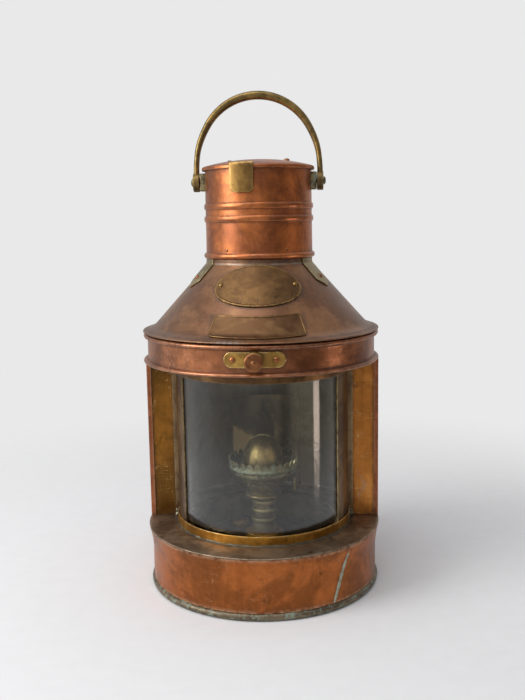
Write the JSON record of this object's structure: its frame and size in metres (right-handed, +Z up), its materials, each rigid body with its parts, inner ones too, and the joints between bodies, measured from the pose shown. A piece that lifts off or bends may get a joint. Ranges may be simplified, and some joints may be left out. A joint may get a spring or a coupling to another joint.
{
  "type": "ship's stern navigation lamp",
  "caption": "Half-round copper oil lamp with a curved glass, a hinged cone hood with a chimney collar, a turning lid, a swinging bail and a lift-out font with a flat-wick burner",
  "frame": {"origin": "the middle of the base, on the surface that the lamp stands on", "axes": "+Z up through the lid, -Y out of the glass, +X to the right of someone facing the glass"},
  "size_m": [0.236, 0.2558, 0.4881],
  "materials": {
    "base_drum": "old copper sheet with brown and orange patches",
    "bottom_wire_ring": "copper rolled over a wire, with verdigris",
    "base_plate": "dull copper sheet",
    "deck_plate": "dark dull copper sheet",
    "body_shell": "old copper sheet",
    "screen_left": "tarnished brass sheet",
    "screen_right": "tarnished brass sheet with scratches",
    "post_left": "tarnished brass strip",
    "post_right": "tarnished brass strip",
    "sill_ring": "worn brass",
    "head_ring": "worn brass",
    "glass_pane": "clear curved glass with dust",
    "head_plate": "tinned sheet",
    "band": "old copper sheet with two beads",
    "latch_plate": "worn brass",
    "latch_rivet_left": "copper rivet",
    "latch_rivet_right": "copper rivet",
    "latch_barrel": "brass tube",
    "latch_spring": "spring wire",
    "latch_button": "copper disc",
    "hinge_leaf": "tarnished brass",
    "hinge_pin": "brass wire",
    "reflector": "tarnished tinned sheet",
    "reflector_bracket": "tinned sheet",
    "oil_font": "tinned sheet",
    "font_top": "tinned sheet",
    "burner_collar": "brass",
    "burner_body": "dulled brass",
    "gallery": "dulled brass",
    "burner_dome": "dulled brass",
    "filler_cap": "brass",
    "wick": "woven cotton",
    "winder_shaft": "steel",
    "winder_knob": "dulled brass",
    "hood_cone": "browned copper sheet",
    "hood_spigot": "browned copper sheet",
    "catch_tongue": "brass strip",
    "hinge_strap": "tarnished brass",
    "collar": "copper sheet with three beads",
    "strap_front_left": "greenish brass",
    "strap_front_right": "greenish brass",
    "strap_rear": "greenish brass",
    "strap_rivet_front_left": "brass rivet",
    "strap_rivet_front_right": "brass rivet",
    "strap_rivet_rear": "brass rivet",
    "oval_plate": "bare tarnished brass",
    "oval_rivet_left": "brass rivet",
    "oval_rivet_right": "brass rivet",
    "name_plate": "bare brass",
    "lug_left": "tarnished brass",
    "lug_right": "tarnished brass",
    "pivot_pin_left": "brass rivet",
    "pivot_pin_right": "brass rivet",
    "lid": "copper sheet",
    "lid_tab": "tarnished brass",
    "lid_rivet_left": "copper rivet",
    "lid_rivet_right": "copper rivet",
    "lid_cross_bar": "brass strip",
    "bail": "old brass"
  },
  "bodies": {
    "lamp_body": {"base_drum": "base_drum", "bottom_wire_ring": "bottom_wire_ring", "base_plate": "base_plate", "deck_plate": "deck_plate", "body_shell": "body_shell", "screen_left": "screen_left", "screen_right": "screen_right", "post_left": "post_left", "post_right": "post_right", "sill_ring": "sill_ring", "head_ring": "head_ring", "glass_pane": "glass_pane", "head_plate": "head_plate", "band": "band", "latch_plate": "latch_plate", "latch_rivet_left": "latch_rivet_left", "latch_rivet_right": "latch_rivet_right", "latch_barrel": "latch_barrel", "latch_spring": "latch_spring", "hinge_leaf": "hinge_leaf", "hinge_pin": "hinge_pin", "reflector": "reflector", "reflector_bracket": "reflector_bracket"},
    "hood": {"hood_cone": "hood_cone", "hood_spigot": "hood_spigot", "catch_tongue": "catch_tongue", "hinge_strap": "hinge_strap", "collar": "collar", "strap_front_left": "strap_front_left", "strap_front_right": "strap_front_right", "strap_rear": "strap_rear", "strap_rivet_front_left": "strap_rivet_front_left", "strap_rivet_front_right": "strap_rivet_front_right", "strap_rivet_rear": "strap_rivet_rear", "oval_plate": "oval_plate", "oval_rivet_left": "oval_rivet_left", "oval_rivet_right": "oval_rivet_right", "name_plate": "name_plate", "lug_left": "lug_left", "lug_right": "lug_right", "pivot_pin_left": "pivot_pin_left", "pivot_pin_right": "pivot_pin_right"},
    "lid": {"lid": "lid", "lid_tab": "lid_tab", "lid_rivet_left": "lid_rivet_left", "lid_rivet_right": "lid_rivet_right", "lid_cross_bar": "lid_cross_bar"},
    "bail": {"bail": "bail"},
    "button": {"latch_button": "latch_button"},
    "oil_lamp": {"oil_font": "oil_font", "font_top": "font_top", "burner_collar": "burner_collar", "burner_body": "burner_body", "gallery": "gallery", "burner_dome": "burner_dome"},
    "cap": {"filler_cap": "filler_cap"},
    "winder": {"winder_shaft": "winder_shaft", "winder_knob": "winder_knob"},
    "wick": {"wick": "wick"}
  },
  "joints": [
    {"name": "hood_hinge", "type": "hinge", "parent": "lamp_body", "child": "hood", "pos_m": [0, 0.1214, 0.258], "axis": [-1, 0, 0], "range_deg": [0, 100]},
    {"name": "bail_swing", "type": "hinge", "parent": "hood", "child": "bail", "pos_m": [0, 0, 0.402], "axis": [1, 0, 0], "range_deg": [-130, 130]},
    {"name": "lid_turn", "type": "hinge", "parent": "hood", "child": "lid", "pos_m": [0, 0, 0.4151], "axis": [0, 0, 1], "range_deg": [-45, 70]},
    {"name": "latch_push", "type": "slide", "parent": "lamp_body", "child": "button", "axis": [0, 1, 0], "range_m": [0, 0.003], "stiffness_N_per_m": 600, "springref_m": -0.002, "deforming": ["latch_spring"]},
    {"name": "font_lift", "type": "slide", "parent": "lamp_body", "child": "oil_lamp", "axis": [0, 0, 1], "range_m": [0, 0.1]},
    {"name": "cap_turn", "type": "hinge", "parent": "oil_lamp", "child": "cap", "pos_m": [-0.02764, 0.03294, 0.0403], "axis": [0, 0, 1], "range_deg": [0, 360]},
    {"name": "wick_wind", "type": "hinge", "parent": "oil_lamp", "child": "winder", "pos_m": [0, -0.0042, 0.0969], "axis": [1, 0, 0], "range_deg": [0, 124]},
    {"name": "wick_raise", "type": "slide", "parent": "oil_lamp", "child": "wick", "axis": [0, 0, 1], "range_m": [0, 0.0064]}
  ],
  "couplings": [
    {"joint": "wick_wind", "follows": "wick_raise", "rad_per_m": 333.33}
  ]
}
